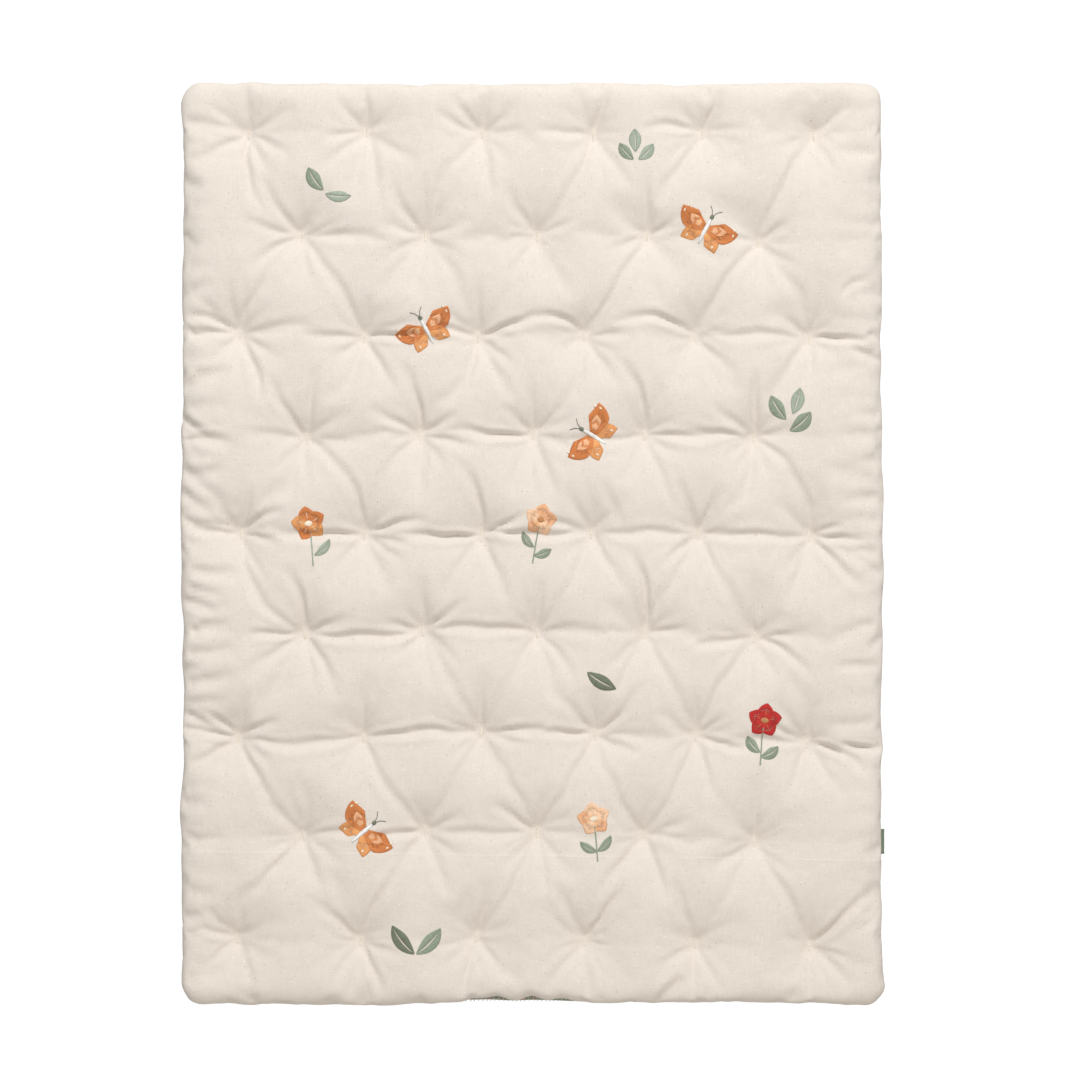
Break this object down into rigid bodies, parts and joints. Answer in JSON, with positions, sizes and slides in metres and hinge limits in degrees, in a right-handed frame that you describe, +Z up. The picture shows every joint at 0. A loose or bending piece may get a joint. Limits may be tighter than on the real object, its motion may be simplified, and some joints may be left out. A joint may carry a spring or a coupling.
{
  "type": "baby play mat",
  "caption": "Padded rectangular cotton play mat, tacked through in staggered rows so that the filling puffs up between the tacks, with a plain folded tab in one side seam.",
  "frame": {"origin": "centre of the mat's footprint, on the floor that it lies on", "axes": "+X across the width towards the side with the label, +Y along the length towards the head of the mat, +Z up out of the front"},
  "size_m": [0.7604, 1, 0.0267],
  "materials": {
    "cotton": "matte plain weave, unbleached, with small seed flecks",
    "tape": "matte woven tape"
  },
  "bodies": {
    "root": {"mat": "cotton", "label": "tape"}
  },
  "joints": []
}
